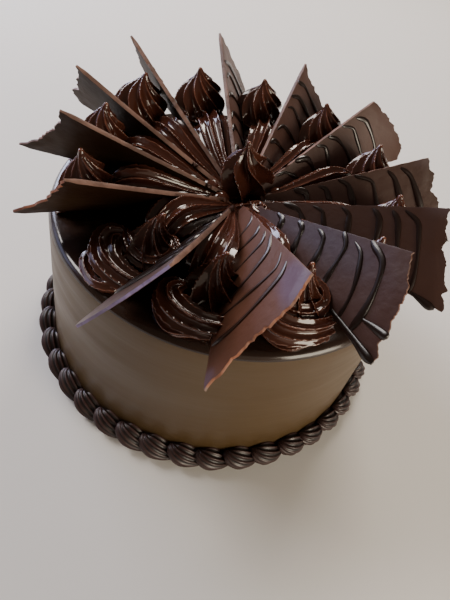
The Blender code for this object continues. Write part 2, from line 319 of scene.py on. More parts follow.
# %% [markdown]
# ## The iced cake
# A tall cake is coated with soft chocolate icing and smoothed with a scraper held against the
# turning wall, then with a warm palette knife on top. So it is a cylinder that leans in a little,
# with a rounded top edge. A real wall is never quite true: the cylinder is cut into rings, and a
# very soft noise pushes its surface in and out by a few tenths of a millimetre. The scraper leaves
# the wall satin; the top, smoothed by the warm knife, shines. The top is the same icing, but its
# colour is painted much darker, a painted shade for the dark swirls it mirrors.

# %% Looks of the icing
DRAG_STRETCH = (1.0, 1.0, 9.0)
wall_look = Look("cake_icing", Specular_IOR_Level=0.40)
cloud = wall_look.noise(9.0, 4.0)
drag = wall_look.noise(5.0, 5.0, DRAG_STRETCH)
wall_look.colour(
    wall_look.blend(cloud, (0.057, 0.032, 0.0120, 1.0), (0.094, 0.058, 0.0235, 1.0))
)
wall_look.roughness(0.32 + 0.22 * wall_look.between(0.3, 0.7, drag))
wall_look.relief(drag, 0.0009)
# The top is the same icing as the wall; its colour is painted much darker as painted shade for the dark
# swirls it mirrors.
top_painted_dark_look = Look("cake_top_icing_painted_dark")
smear = top_painted_dark_look.noise(22.0, 4.0)
top_painted_dark_look.colour(top_painted_dark_look.blend(smear, (0.017, 0.0085, 0.0060, 1.0), (0.030, 0.016, 0.011, 1.0)))
top_painted_dark_look.roughness(0.12 + 0.12 * top_painted_dark_look.between(0.40, 0.75, smear))
top_painted_dark_look.relief(smear, 0.0007)

# %% The iced cake
WALL_RADIUS = 0.114
TOP_RADIUS = 0.1105
CAKE_HEIGHT = 0.1115
EDGE_ROUNDING = 0.0048
SIDES = 200
WALL_RINGS = 21
WALL_RING_STEP = 0.0049
TOP_RINGS = 18
TOP_RING_STEP = 0.0057
SWELL_SIZE = 0.045
SWELL_DEPTH = 0.0007
bpy.ops.mesh.primitive_cylinder_add(vertices=SIDES, radius=WALL_RADIUS, depth=CAKE_HEIGHT)
cake = bpy.context.object
cake.name = "iced_cake"
cake.location.z = CAKE_HEIGHT / 2.0
place(cake)
edit(cake)
pick(cake.data.vertices, lambda point: point.co.z > 0.9 * CAKE_HEIGHT)
narrow = TOP_RADIUS / WALL_RADIUS
bpy.ops.transform.resize(value=(narrow, narrow, 1.0), center_override=(0.0, 0.0, CAKE_HEIGHT))
bpy.ops.mesh.select_mode(type="EDGE")
bpy.ops.mesh.bevel(offset=EDGE_ROUNDING, segments=7, profile=0.5, affect="EDGES")
for ring in range(1, WALL_RINGS + 1):
    bpy.ops.mesh.select_all(action="SELECT")
    bpy.ops.mesh.bisect(plane_co=(0.0, 0.0, ring * WALL_RING_STEP), plane_no=(0.0, 0.0, 1.0))
done()
edit(cake, "FACE")
pick(cake.data.polygons, lambda face: face.center.z > CAKE_HEIGHT - 0.00001)
for ring in range(TOP_RINGS):
    bpy.ops.mesh.inset(thickness=TOP_RING_STEP)
done()
soft = bpy.data.textures.new("soft_swell", "CLOUDS")
soft.noise_scale = SWELL_SIZE
modify(cake, "DISPLACE", texture=soft, strength=SWELL_DEPTH, mid_level=0.5)
outwards(cake)
dress(cake, ["cake"], [wall_look, top_painted_dark_look])
# Faces on the top take the look whose darker colour is painted shade.
for face in cake.data.polygons:
    face.material_index = int(face.center.z > CAKE_HEIGHT - 0.7 * EDGE_ROUNDING)

# %% [markdown]
# ## Ropes of ganache
# Everything that is piped comes out of a star nozzle as a ridged rope. Its section is a star whose
# crests are sharp and whose valleys are smooth and hollow. The star is a circle whose points are
# drawn inwards by a set amount between the crests; as a curve it becomes the profile that is swept
# along a path, wider or narrower as the cook presses harder or lets go.

# %% The star profile
CREST_SHARPNESS = 0.75


def star(crests, valley, points, sharpness=CREST_SHARPNESS):
    """A star profile of radius 1 m with sharp crests, to be swept along a path."""
    bpy.ops.mesh.primitive_circle_add(vertices=crests * points, radius=1.0)
    item = bpy.context.object
    for step in range(1, points):
        hollow = math.sin(math.pi * step / points)
        edit(item)
        pick(item.data.vertices, lambda point: point.index % points == step)
        shrink = 1.0 - (1.0 - valley) * hollow ** sharpness
        bpy.ops.transform.resize(value=(shrink, shrink, 1.0), center_override=(0.0, 0.0, 0.0))
        done()
    alone(item)
    bpy.ops.object.convert(target="CURVE")
    return bpy.context.object


def drawn(path, widths, tilts=None):
    """A curve through the points of a path; widths and tilts scale and turn its profile there."""
    bpy.ops.curve.primitive_nurbs_path_add()
    curve = bpy.context.object.data
    curve.splines.clear()
    line = curve.splines.new("POLY")
    line.points.add(len(path) - 1)
    for index, point in enumerate(line.points):
        point.co = (*path[index], 1.0)
        point.radius = widths[index]
        point.tilt = tilts[index] if tilts else 0.0
    curve.dimensions = "3D"
    curve.use_fill_caps = True
    return curve


def rope(profile, path, widths, tilts=None):
    """Sweep a star along a path; widths are the rope's radius at each point."""
    curve = drawn(path, widths, tilts)
    curve.bevel_mode = "OBJECT"
    curve.bevel_object = profile
    bpy.ops.object.convert(target="MESH")
    return bpy.context.object


loop_nozzle = star(8, 0.62, 10)
fold_nozzle = star(9, 0.64, 10, 0.70)
drop_nozzle = star(8, 0.46, 12, 0.65)
dome_nozzle = star(9, 0.64, 10, 0.95)
shell_nozzle = star(11, 0.70, 8)
fine_nozzle = star(13, 0.80, 6)
small_nozzle = star(5, 0.62, 8)
print("nozzle profile points:", len(loop_nozzle.data.splines[0].points))


# %% [markdown]
# The paths are written as short tables. Each row starts with a share of the way, from 0 to 1, and
# the values in between are read on a smooth curve through all the rows, so no rope has a kink.

# %% Reading a table


def shares(steps):
    """Even shares of the way, from 0 to 1."""
    return [step / steps for step in range(steps + 1)]


def eased(value):
    """A share from 0 to 1 that starts and ends gently."""
    value = min(max(value, 0.0), 1.0)
    return value * value * (3.0 - 2.0 * value)


def along(stops, share):
    """Read a table of (share, value) stops on a smooth curve through all of them."""
    index = 0
    while index < len(stops) - 2 and share > stops[index + 1][0]:
        index += 1
    before = stops[max(index - 1, 0)]
    low, first = stops[index]
    high, second = stops[index + 1]
    after = stops[min(index + 2, len(stops) - 1)]
    width = high - low
    start_slope = width * (second - before[1]) / (high - before[0])
    end_slope = width * (after[1] - first) / (after[0] - low)
    spot = (share - low) / width
    gentle = spot * spot * (3.0 - 2.0 * spot)
    bulge = start_slope * spot * (1.0 - spot) ** 2 - end_slope * spot * spot * (1.0 - spot)
    return first + (second - first) * gentle + bulge


def stop_at(stops, share):
    """Read every column of a table of stops at a share, the first column being the share."""
    columns = range(1, len(stops[0]))
    return [along([(stop[0], stop[column]) for stop in stops], share) for column in columns]


print("half way between 0 and 1 through 0.2:", along([(0.0, 0.0), (0.4, 0.2), (1.0, 1.0)], 0.5))


# %% [markdown]
# ## The looks of ganache
# Ganache sets dark and glossy. Its thin crests are painted lighter, reddish brown, as a painted
# highlight, and its valleys are painted nearly black as painted shade. The height of each point over
# its neighbours says which is which: it is stored in the mesh as an attribute, and the colour follows
# it.

# %% Marking the crests


def mark_crests(item, rounds=2, full=0.00012):
    """Store how far each point stands out from its neighbours, from 0 to 1."""
    mesh = item.data
    count = len(mesh.vertices)
    points = np.empty(count * 3)
    mesh.vertices.foreach_get("co", points)
    points = points.reshape(count, 3)
    facing = np.empty(count * 3)
    mesh.vertex_normals.foreach_get("vector", facing)
    facing = facing.reshape(count, 3)
    ends = np.empty(len(mesh.edges) * 2, dtype=np.int64)
    mesh.edges.foreach_get("vertices", ends)
    ends = ends.reshape(-1, 2)
    links = np.bincount(ends.ravel(), minlength=count).clip(1)

    def neighbours(values):
        total = np.zeros_like(values)
        np.add.at(total, ends[:, 0], values[ends[:, 1]])
        np.add.at(total, ends[:, 1], values[ends[:, 0]])
        return total / (links[:, None] if values.ndim > 1 else links)

    rise = ((points - neighbours(points)) * facing).sum(axis=1)
    for _ in range(rounds):
        rise = 0.5 * rise + 0.5 * neighbours(rise)
    layer = mesh.attributes.new("crest", "FLOAT", "POINT")
    layer.data.foreach_set("value", (rise / full).clip(-1.0, 1.0))


def ganache_look(name, dark, lit, smooth, rough, coat):
    """Dark ganache with crests painted lighter as a highlight and valleys painted dark as shade; as
    smooth and rough as two values of roughness say.
    """
    look = Look(name, Coat_Weight=coat, Coat_Roughness=0.06)
    # The crests are painted lighter as a painted highlight and the valleys dark as painted shade, by
    # the stored height over the neighbours.
    crest = look.between(0.05, 0.9, look.attribute("crest"))
    cloud = look.noise(60.0, 2.0)
    look.colour(look.blend(crest, (*dark, 1.0), (*lit, 1.0)))
    look.roughness(smooth + (rough - smooth) * look.between(0.35, 0.75, cloud))
    return look


# For each ganache: the valleys' colour (painted shade) and the crests' colour (painted highlight).
piped_look = ganache_look(
    "piped_ganache", (0.060, 0.0190, 0.0115), (0.225, 0.086, 0.053), 0.08, 0.17, 0.35
)
border_look = ganache_look(
    "border_ganache", (0.0075, 0.0030, 0.0026), (0.042, 0.019, 0.017), 0.38, 0.54, 0.05
)
print("ganache looks:", piped_look.material.name, "and", border_look.material.name)

# %% [markdown]
# ## The border round the foot
# Short strokes of a star nozzle finish the foot of the cake. Each stroke starts fat,
# high against the wall, and is pulled down to the right until it tapers away under the next one.
# One stroke is modelled, then copied round the foot with small changes, as a hand makes them.

# %% One stroke of the border
STROKES = 42
STROKE_STEPS = 20
# Share of the way along a stroke, then the distance round the foot, the distance out from the wall,
# the height and the radius of the rope, in millimetres
STROKE_STOPS = (
    (0.00, -8.0, 0.2, 13.6, 1.2), (0.06, -7.4, 1.2, 13.0, 3.8), (0.16, -5.8, 2.2, 12.0, 6.0),
    (0.28, -3.0, 2.8, 10.6, 7.5), (0.42, 0.5, 3.0, 8.8, 7.9), (0.56, 4.5, 2.8, 6.6, 7.0),
    (0.70, 8.5, 2.2, 4.2, 5.6), (0.86, 12.0, 1.4, 2.6, 3.8), (1.00, 14.5, 0.6, 2.0, 2.0),
)
stroke_path = []
stroke_widths = []
for share in shares(STROKE_STEPS):
    round_foot, out, height, width = stop_at(STROKE_STOPS, share)
    turn = 0.001 * round_foot / WALL_RADIUS
    radius = WALL_RADIUS + 0.001 * out
    stroke_path.append((radius * math.cos(turn), radius * math.sin(turn), 0.001 * height))
    stroke_widths.append(0.001 * width)
stroke = rope(fine_nozzle, stroke_path, stroke_widths)
trim(stroke, (0.0, 0.0, 0.0), (0.0, 0.0, -1.0))
print("one stroke:", len(stroke.data.polygons), "faces")

# %% The whole border
STROKE_SWAY = 0.06
STROKE_HEIGHTS = (0.94, 1.05)
hand = random.Random(5)
strokes = []
for number in range(STROKES):
    alone(stroke)
    bpy.ops.object.duplicate(linked=False)
    copy = bpy.context.object
    spot = number + STROKE_SWAY * hand.uniform(-1.0, 1.0)
    turn = Matrix.Rotation(math.tau * spot / STROKES, 4, "Z")
    grow = Matrix.Diagonal((1.0, 1.0, hand.uniform(*STROKE_HEIGHTS), 1.0))
    place(copy, turn @ grow)
    strokes.append(copy)
bpy.data.objects.remove(stroke, do_unlink=True)
border = join("foot_border", strokes)
outwards(border)
mark_crests(border)
dress(border, ["base_border"], [border_look])

# %% [markdown]
# ## The shards
# Melted chocolate is spread thin on a disc of paper, striped with a darker glaze, and cut into
# wedges just before it sets hard. Stood on one cut edge and leaned over, twelve of them make a
# pinwheel. The cut edges are straight and pale; the rims are broken and rough. A table holds each
# shard's place: the direction and rise of its low edge, how far it leans, its angle, and how far
# its rim reaches from the low corner to the high one.

# %% The shards' places
SHARD_THICKNESS = 0.0024
SHARD_TIP_HEIGHT = CAKE_HEIGHT + 0.0041
SHARD_TIP_CUT = 0.013
# Direction and rise of the low edge, lean and angle in degrees, then the distances from tip to rim
SHARDS = (
    (213.0, 3.8, 54.0, 24.8, (0.128, 0.120, 0.1155, 0.1155, 0.117, 0.118)),
    (185.3, 2.7, 60.4, 26.8, (0.1315, 0.121, 0.114, 0.111, 0.110, 0.111)),
    (157.8, 3.0, 57.6, 24.8, (0.132, 0.130, 0.122, 0.120, 0.118, 0.118)),
    (131.6, 2.8, 59.0, 26.0, (0.131, 0.128, 0.126, 0.123, 0.121, 0.122)),
    (99.3, 2.8, 60.5, 27.0, (0.131, 0.132, 0.126, 0.124, 0.122, 0.121)),
    (66.5, 2.8, 57.0, 24.8, (0.131, 0.122, 0.117, 0.115, 0.114, 0.116)),
    (40.5, 3.8, 61.3, 21.5, (0.130, 0.135, 0.131, 0.125, 0.121, 0.117)),
    (4.1, 2.8, 54.8, 23.6, (0.131, 0.123, 0.120, 0.115, 0.116, 0.1155)),
    (-24.1, 2.8, 56.3, 24.5, (0.131, 0.127, 0.122, 0.118, 0.118, 0.117)),
    (-51.7, 3.7, 58.8, 24.6, (0.130, 0.125, 0.123, 0.122, 0.118, 0.115)),
    (-86.2, 1.0, 57.7, 29.4, (0.1355, 0.128, 0.124, 0.1235, 0.124, 0.117)),
    (-112.9, 2.1, 55.6, 23.6, (0.135, 0.133, 0.130, 0.129, 0.124, 0.117)),
)


def shard_place(edge, slope, lean):
    """The matrix that stands a shard up: X along its low edge, Z out of its upper face."""
    turn = Matrix.Rotation(math.radians(edge), 4, "Z")
    rise = Matrix.Rotation(-math.radians(slope), 4, "Y")
    tip = Matrix.Rotation(math.radians(lean), 4, "X")
    return Matrix.Translation((0.0, 0.0, SHARD_TIP_HEIGHT)) @ turn @ rise @ tip


def in_steps(values, share):
    """Read a list of evenly spaced values at a share of its length, in straight steps."""
    spot = share * (len(values) - 1)
    index = min(int(spot), len(values) - 2)
    return values[index] + (values[index + 1] - values[index]) * (spot - index)


print("shards:", len(SHARDS))

# %% [markdown]
# The face that was spread is satin brown; towards the rim its colour is painted lighter and bluish,
# partly a bloom and partly a painted sheen of reflected cool light. The side that lay on the paper is
# darker and more olive, and the broken and cut edges show the pale inside. The glaze is nearly black
# and shines.

# %% Looks of the shards


def face_look(name, inner, bloom_and_sheen, patches, shine=0.40):
    """A face with patches painted lighter, partly bloom and partly painted sheen: each patch has its
    middle in shares out and across, and two radii.
    """
    look = Look(name, Specular_IOR_Level=shine)
    spot = look.node("ShaderNodeUVMap", {"uv_map": "UVMap"})
    ragged_edge = 0.22 * (look.noise(45.0, 4.0) - 0.5)
    share = 0.0
    for out, across, full, end in patches:
        away = look.node(
            "ShaderNodeVectorMath", {"operation": "DISTANCE"}, {0: spot, 1: (out, across, 0.0)},
            "Value",
        )
        share = share + (1.0 - look.between(full, end, away + ragged_edge))
    cloud = look.noise(26.0, 3.0)
    dark = [0.78 * part for part in inner]
    light = [1.25 * part for part in inner]
    shaded = look.blend(cloud, (*dark, 1.0), (*light, 1.0))
    # Inside the patches the colour is painted lighter and bluish: bloom with a painted sheen of
    # reflected cool light.
    look.colour(look.blend(share, shaded, (*bloom_and_sheen, 1.0)))
    look.roughness(0.36 + 0.24 * look.noise(90.0, 3.0))
    look.relief(look.noise(140.0, 4.0), 0.0004)
    return look


upper_look = face_look(
    "shard_face", (0.046, 0.0195, 0.0135), (0.080, 0.050, 0.052), ((1.05, 1.05, 0.04, 0.22),)
)
blue_look = face_look(
    "shard_blue_face", (0.058, 0.0240, 0.0190), (0.058, 0.035, 0.044), ((0.45, 0.80, 0.05, 0.55),)
)
milky_look = face_look(
    "shard_milky_face", (0.094, 0.037, 0.022), (0.098, 0.055, 0.080),
    ((0.93, 0.88, 0.03, 0.22), (1.02, 0.0, 0.02, 0.10)), 0.26,
)
dusty_look = face_look(
    "shard_dusty_face", (0.076, 0.0370, 0.0290), (0.105, 0.064, 0.058), ((0.95, 0.60, 0.05, 0.55),)
)
under_look = face_look(
    "shard_underside", (0.020, 0.0082, 0.0034), (0.036, 0.018, 0.008), ((1.0, 0.3, 0.1, 0.5),), 0.06
)


def edge_look(name, dull, bright):
    """A broken or cut edge: matt and grainy."""
    look = Look(name, Roughness=0.55)
    patch = look.between(0.30, 0.70, look.noise(70.0, 3.0))
    look.colour(look.blend(patch, (*dull, 1.0), (*bright, 1.0)))
    look.relief(look.noise(400.0, 3.0), 0.0005)
    return look


cut_look = edge_look("shard_cut_edge", (0.105, 0.052, 0.037), (0.230, 0.128, 0.098))
rim_look = edge_look("shard_rim", (0.060, 0.024, 0.014), (0.170, 0.070, 0.042))
bright_rim_look = edge_look("shard_bright_rim", (0.120, 0.038, 0.018), (0.300, 0.105, 0.050))
# The broken rim of shard 12 is painted lavender all over: a painted reflection of cool light on its
# glossy edge.
reflection_painted_rim_look = edge_look("shard_rim_painted_reflection", (0.105, 0.076, 0.140), (0.225, 0.172, 0.350))
glaze_look = Look("shard_glaze", Roughness=0.30, Coat_Weight=0.15, Coat_Roughness=0.12)
glaze_look.colour((0.0130, 0.0060, 0.0045, 1.0))
brown_glaze_look = Look("shard_brown_glaze", Roughness=0.34)
brown_glaze_look.colour((0.034, 0.0135, 0.0085, 1.0))
print("materials:", len(bpy.data.materials))

# %% [markdown]
# A shard starts as a flat grid. Each point's two shares of the way along and across become a
# distance from the tip and an angle, which makes a wedge; its last rows are roughened for the
# broken rim. Solidify gives the thickness and names its underside and edges, and a small bevel
# takes the sharpness off. The glaze is a flattened rope that follows the rim and hooks at its end.

# %% One shard
ROWS_OUT = 64
ROWS_ACROSS = 56
CUT_EDGE = 2
RIM = 3
RIM_THINNING = 0.45
RIM_BAND = 0.006
RIM_START = 0.1
# How many steps the broken rim and the chipped edges have, and how far they go in or out
COARSE_STEPS, COARSE_DEPTH = 15, 0.0014
FINE_STEPS, FINE_DEPTH = 48, 0.0007
CHIP_STEPS, CHIP_DEPTH = 60, 0.00016
WARP = 0.0004
BEVEL_WIDTH = 0.00025


def shard_plate(spread, rim, looks, hand):
    """The plate of one shard, flat, with its tip at the origin."""
    bpy.ops.mesh.primitive_grid_add(x_subdivisions=ROWS_OUT, y_subdivisions=ROWS_ACROSS, size=1.0)
    item = bpy.context.object
    for look in looks:
        item.data.materials.append(look.material)
    coarse = [hand.uniform(-COARSE_DEPTH, COARSE_DEPTH) for _ in range(COARSE_STEPS)]
    fine = [hand.uniform(-FINE_DEPTH, FINE_DEPTH) for _ in range(FINE_STEPS)]
    chips = [[-abs(hand.gauss(0.0, CHIP_DEPTH)) for _ in range(CHIP_STEPS)] for _ in range(2)]
    for point in item.data.vertices:
        out = point.co.x + 0.5
        share = point.co.y + 0.5
        notch = in_steps(coarse, share) + in_steps(fine, share)
        reach = in_steps(rim, share) + notch * eased((out - 0.90) / 0.10)
        away = SHARD_TIP_CUT + out * (reach - SHARD_TIP_CUT)
        turn = spread * share
        side = 0.0
        if share < 0.001:
            side = -in_steps(chips[0], out)
        if share > 0.999:
            side = in_steps(chips[1], out)
        point.co = (
            away * math.cos(turn) - side * math.sin(turn),
            away * math.sin(turn) + side * math.cos(turn),
            WARP * math.sin(3.0 * share + 4.0 * out) * out,
        )
    modify(
        item, "SOLIDIFY",
        thickness=SHARD_THICKNESS, offset=0.0, material_offset=1, material_offset_rim=CUT_EDGE,
    )
    modify(
        item, "BEVEL",
        width=BEVEL_WIDTH, segments=2, limit_method="ANGLE", angle_limit=math.radians(40.0),
    )
    for point in item.data.vertices:
        share = min(max(math.atan2(point.co.y, point.co.x) / spread, 0.0), 1.0)
        short = in_steps(rim, share) - point.co.xy.length
        point.co.z *= 1.0 - RIM_THINNING * eased(1.0 - short / RIM_BAND)
    for face in item.data.polygons:
        middle = face.center
        inside = 0.02 * spread < math.atan2(middle.y, middle.x) < 0.98 * spread
        if face.material_index == CUT_EDGE and inside and middle.length > RIM_START:
            face.material_index = RIM
    return item


# %% The glaze on a shard
GLAZE_DISTANCES = (0.040, 0.055, 0.069, 0.083, 0.096, 0.107)
GLAZE_FLATNESS = 0.62
GLAZE_STEPS = 30
DRIP_STEPS = 24


def round_rope(path, widths):
    """A smooth rope of glaze on the plate's face, flattened; widths are in millimetres."""
    curve = drawn(path, widths)
    curve.bevel_depth = 0.001
    curve.bevel_resolution = 3
    bpy.ops.object.convert(target="MESH")
    item = bpy.context.object
    lift = Matrix.Translation((0.0, 0.0, SHARD_THICKNESS / 2.0))
    place(item, lift @ Matrix.Diagonal((1.0, 1.0, GLAZE_FLATNESS, 1.0)))
    return item


def glaze_line(distance, spread, rim, thickness, hand):
    """One line of glaze across a shard: it hooks in from the high edge and runs to the low one."""
    drift = hand.uniform(0.002, 0.012)
    phase = hand.uniform(0.0, math.tau)
    hook = hand.uniform(0.003, 0.010)
    start = hand.uniform(0.90, 1.0)
    thick = thickness * hand.uniform(0.75, 1.20)
    path = []
    widths = []
    for step in range(GLAZE_STEPS + 1):
        share = 0.02 + (start - 0.02) * step / GLAZE_STEPS
        away = distance + drift * (0.5 - share) + 0.0012 * math.sin(phase + 4.0 * share)
        away -= hook * eased((share - 0.72) / 0.28) ** 2
        away = min(away, in_steps(rim, share) - 0.003)
        turn = spread * share
        path.append((away * math.cos(turn), away * math.sin(turn), 0.0))
        ends = eased((step + 1.0) / 4.0) * eased((GLAZE_STEPS - step + 1.0) / 3.0)
        swell = 1.0 + 0.25 * math.sin(5.0 * phase + 9.0 * share)
        widths.append(thick * (0.3 + 0.7 * ends) * swell)
    return round_rope(path, widths)


def glaze_drip(stops, spread):
    """A thick drip; each stop has a distance in millimetres, a share across and a radius."""
    path = []
    widths = []
    table = [(index / (len(stops) - 1.0), *stop) for index, stop in enumerate(stops)]
    for share in shares(DRIP_STEPS):
        away, across, radius = stop_at(table, share)
        turn = spread * across
        path.append((0.001 * away * math.cos(turn), 0.001 * away * math.sin(turn), 0.0))
        widths.append(radius)
    return round_rope(path, widths)


# %% All the shards
BLUE_SHARD = 10
MILKY_SHARD = 11
REFLECTION_RIM_SHARD = 12
# What sets some shards apart, by their number: face, rim, radius of the glaze in millimetres, drips
SHARD_FACES = {
    5: dusty_look, 6: dusty_look, 7: dusty_look, BLUE_SHARD: blue_look, MILKY_SHARD: milky_look
}
# Shard 12's rim takes the look with the painted reflection.
SHARD_RIMS = {1: bright_rim_look, MILKY_SHARD: bright_rim_look, REFLECTION_RIM_SHARD: reflection_painted_rim_look}
GLAZE_RADII = {MILKY_SHARD: 0.95}
USUAL_GLAZE_RADIUS = 1.45
DRIPS = {
    9: (((113.0, 0.03, 0.8), (119.0, 0.01, 1.8), (124.0, -0.005, 2.3), (127.0, 0.0, 0.9)),),
    10: (
        (
            (96.0, 0.04, 1.0), (108.0, 0.03, 1.5), (118.0, 0.02, 2.0), (126.0, 0.01, 2.6),
            (130.0, 0.015, 1.2),
        ),
        ((112.0, 0.22, 0.8), (119.0, 0.24, 1.8), (125.5, 0.25, 2.3), (127.0, 0.25, 0.9)),
    ),
    8: (((112.0, 0.05, 0.8), (120.0, 0.03, 1.7), (129.0, 0.01, 1.4)),),
}
hand = random.Random(11)
for number, (edge, slope, lean, spread, rim) in enumerate(SHARDS, start=1):
    wedge = math.radians(spread)
    face = SHARD_FACES.get(number, upper_look)
    broken = SHARD_RIMS.get(number, rim_look)
    glaze = brown_glaze_look if number == MILKY_SHARD else glaze_look
    plate = shard_plate(wedge, rim, (face, under_look, cut_look, broken), hand)
    radius = GLAZE_RADII.get(number, USUAL_GLAZE_RADIUS)
    lines = [glaze_line(distance, wedge, rim, radius, hand) for distance in GLAZE_DISTANCES]
    lines += [glaze_drip(stops, wedge) for stops in DRIPS.get(number, ())]
    for line in lines:
        line.data.materials.append(glaze.material)
    shard = join(f"shard_{number:02d}_dressed", [plate] + lines)
    place(shard, shard_place(edge, slope, lean))
    outwards(shard)
    bpy.ops.object.shade_smooth_by_angle(angle=math.radians(35.0))
    dress(shard, [f"shard_{number:02d}"], [])

# %% [markdown]
# ## The swirls
# Between two shards the cook lays a rope near the edge, presses a fat drop on top of it and pulls
# away, so that its ribs run together in a point. Most drops are round and full and sit on a loop.
# The slim ones in front stand in a fold of the rope, one of them with a second turn round it. A long
# ridged shell then runs to the middle, and the first ganache out of the nozzle lies in a ruffle
# round the outer foot. Each of these is a rope along its own path. A voxel remesh melts the ropes
# into one skin as soft ganache does, and the swirl is cut where the shards are pressed into it.

# %% Paths of the ropes
BASE = CAKE_HEIGHT + 0.0003
# Share of the way along the loop, then its radius, its height and the rope's radius, in millimetres
LOOP_STOPS = (
    (0.00, 11.0, 5.0, 4.0), (0.08, 11.0, 6.5, 7.6), (0.35, 10.8, 7.6, 8.6), (0.65, 10.0, 9.5, 8.8),
    (0.85, 8.0, 12.5, 8.2), (1.00, 4.5, 15.0, 6.5),
)
LOOP_TURNS = 1.6
LOOP_STEPS = 80
ROPE_STEPS = 60
RUFFLE_STEPS = 40
# Share of the way along the first fold and along the turn that follows, then how far they lie out and
# round from the peak's foot, their height and the rope's radius, in millimetres
FOLD_STOPS = (
    (0.00, 4.5, -13.0, 11.0, 2.2), (0.09, 7.5, -16.5, 10.6, 6.0), (0.20, 12.0, -18.5, 9.6, 8.4),
    (0.36, 17.5, -16.0, 8.6, 9.2), (0.52, 21.5, -9.5, 7.8, 8.9), (0.68, 22.5, -1.0, 7.0, 8.2),
    (0.84, 20.5, 7.5, 6.2, 7.4), (1.00, 16.5, 14.5, 5.4, 6.2),
)
TURN_STOPS = (
    (0.00, 4.5, -15.5, 14.0, 2.2), (0.12, 7.5, -11.5, 13.4, 4.9), (0.30, 9.5, -4.0, 11.4, 6.2),
    (0.50, 8.6, 5.0, 11.0, 6.4), (0.70, 3.0, 10.5, 12.5, 6.2), (0.88, -5.0, 9.5, 15.0, 5.4),
    (1.00, -8.0, 3.0, 17.0, 4.2),
)
# Share of the drop's height, then its radius when slim and when full, in millimetres, and the turn
# of its ribs
DROP_STOPS = (
    (0.00, 16.0, 17.0, 0.0), (0.12, 15.4, 18.0, 8.0), (0.26, 13.4, 18.4, 20.0),
    (0.40, 10.2, 17.8, 38.0), (0.54, 7.0, 15.9, 60.0), (0.67, 4.9, 12.4, 84.0),
    (0.79, 3.5, 7.4, 108.0), (0.90, 2.5, 3.3, 132.0), (1.00, 1.2, 1.2, 155.0),
)
DROP_FOOT = 0.007
RIB_TWIST = 0.6
# Share of the way along the shell, then the distance from the axis, the height and the radius, in
# millimetres
SHELL_STOPS = (
    (0.00, 64.0, 3.0, 3.5), (0.06, 68.0, 5.5, 7.5), (0.14, 69.5, 9.5, 10.4), (0.24, 66.0, 12.6, 12.2),
    (0.36, 59.0, 13.2, 12.6), (0.52, 47.0, 11.0, 10.8), (0.70, 34.0, 8.2, 8.2),
    (0.86, 23.0, 6.2, 5.8), (1.00, 14.0, 5.0, 3.6),
)


def loop(size, centre, phase, wobble):
    """The rope that lies in a loop at the foot of a full swirl: its path and its radii."""
    path = []
    widths = []
    for share in shares(LOOP_STEPS):
        radius, up, thick = stop_at(LOOP_STOPS, share)
        turn = phase - math.tau * LOOP_TURNS * share
        reach = 0.001 * size * radius * (1.0 + 0.05 * math.sin(wobble + 2.6 * turn))
        across, along_y = reach * math.cos(turn), reach * math.sin(turn)
        path.append((centre[0] + across, centre[1] + along_y, 0.001 * up))
        widths.append(0.001 * size * thick)
    return path, widths


def laid(stops, centre, reach):
    """A rope laid through a table of stops round the foot of a slim swirl: its path and its radii."""
    path = []
    widths = []
    for share in shares(ROPE_STEPS):
        out, round_foot, up, radius = stop_at(stops, share)
        path.append((centre[0] + 0.001 * reach * out, centre[1] + 0.001 * round_foot, 0.001 * up))
        widths.append(0.001 * radius)
    return path, widths


def drop(size, height, full, foot, peak, phase, hook):
    """The drop on top, pulled away to a point: its path, its radii and the turns of its ribs."""
    path = []
    widths = []
    turns = []
    for share in shares(ROPE_STEPS):
        slim, fat, twist = stop_at(DROP_STOPS, share)
        shift = share ** 1.3
        bend = share ** 4
        path.append(
            (
                foot[0] + shift * (peak[0] - foot[0]) + bend * hook[0],
                foot[1] + shift * (peak[1] - foot[1]) + bend * hook[1],
                DROP_FOOT + (height - DROP_FOOT) * share,
            )
        )
        widths.append(0.001 * size * (slim + (fat - slim) * full))
        turns.append(phase - RIB_TWIST * math.radians(twist))
    return path, widths, turns


def ruffle(radius, wobble):
    """The first ganache out of the nozzle, pressed out in folds round the outer foot of a swirl."""
    path = []
    widths = []
    for share in shares(RUFFLE_STEPS):
        turn = math.radians(-115.0 + 230.0 * share)
        wide_fold = 0.0012 * math.sin(wobble + 9.0 * share)
        small_fold = 0.0006 * math.sin(2.0 * wobble + 23.0 * share)
        out = radius + wide_fold + small_fold
        up = 0.0016 + 0.0011 * math.sin(wobble + 17.0 * share)
        path.append((out * math.cos(turn), out * math.sin(turn), up))
        widths.append(0.0034 * math.sin(math.pi * (0.06 + 0.88 * share)) ** 0.5)
    return path, widths


def shell(size, wobble, reach):
    """The rope that rolls over its own start and runs to the middle, tapering."""
    path = []
    widths = []
    for share in shares(ROPE_STEPS):
        out, up, radius = stop_at(SHELL_STOPS, share)
        path.append((0.001 * reach * out, 0.0012 * math.sin(wobble + 5.0 * share), 0.001 * up))
        widths.append(0.001 * size * radius)
    return path, widths


print("steps of a loop, a rope and a ruffle:", LOOP_STEPS, ROPE_STEPS, RUFFLE_STEPS)

# %% [markdown]
# The whorl's own middle lies at one distance from the axis on every swirl, and the places in the
# tables are measured from there. The remesh wears the tip down, so it is pulled a little higher. A
# slim swirl's fold is squeezed where it would hang over the edge, and its shell is shorter where a
# second turn takes up the room.

# %% One swirl
VOXEL = 0.00054
WHORL_DISTANCE = 0.0875
TIP_LOSS = 2.0
SLIM = 0.4
LAST_FOLD = 0.1015
FOLD_REACH = 0.0225
SHORT_SHELL = 0.86
RUFFLE_RADIUS = 0.0172


def shifted(path, centre):
    """Move a path by a step."""
    return [tuple(np.add(point, centre)) for point in path]


